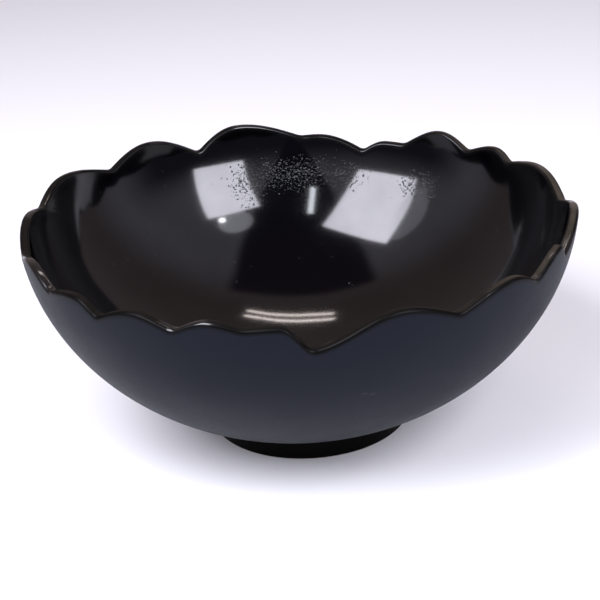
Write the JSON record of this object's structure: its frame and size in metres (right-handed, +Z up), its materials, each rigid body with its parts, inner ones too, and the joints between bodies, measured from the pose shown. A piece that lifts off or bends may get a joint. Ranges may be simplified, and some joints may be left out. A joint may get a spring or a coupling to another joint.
{
  "type": "bowl",
  "caption": "Round black-lacquered wooden serving bowl with a carved, unevenly scalloped rim, standing on a low foot ring; holds fruit, bread or sweets.",
  "frame": {"origin": "centre of the foot ring's resting face, on the table", "axes": "+Z up through the bowl's open mouth; -Y towards the viewer, where the rim's deepest notch is; +X to the viewer's right"},
  "size_m": [0.2498, 0.2492, 0.1068],
  "materials": {
    "lacquered_bowl": "black lacquer on turned wood, polished to a high gloss inside, satin outside, rubbed through to brown on the rim's edge",
    "lacquered_foot": "black satin lacquer on turned wood, worn where it rests"
  },
  "bodies": {
    "root": {"bowl_body": "lacquered_bowl", "foot_ring": "lacquered_foot"}
  },
  "joints": []
}
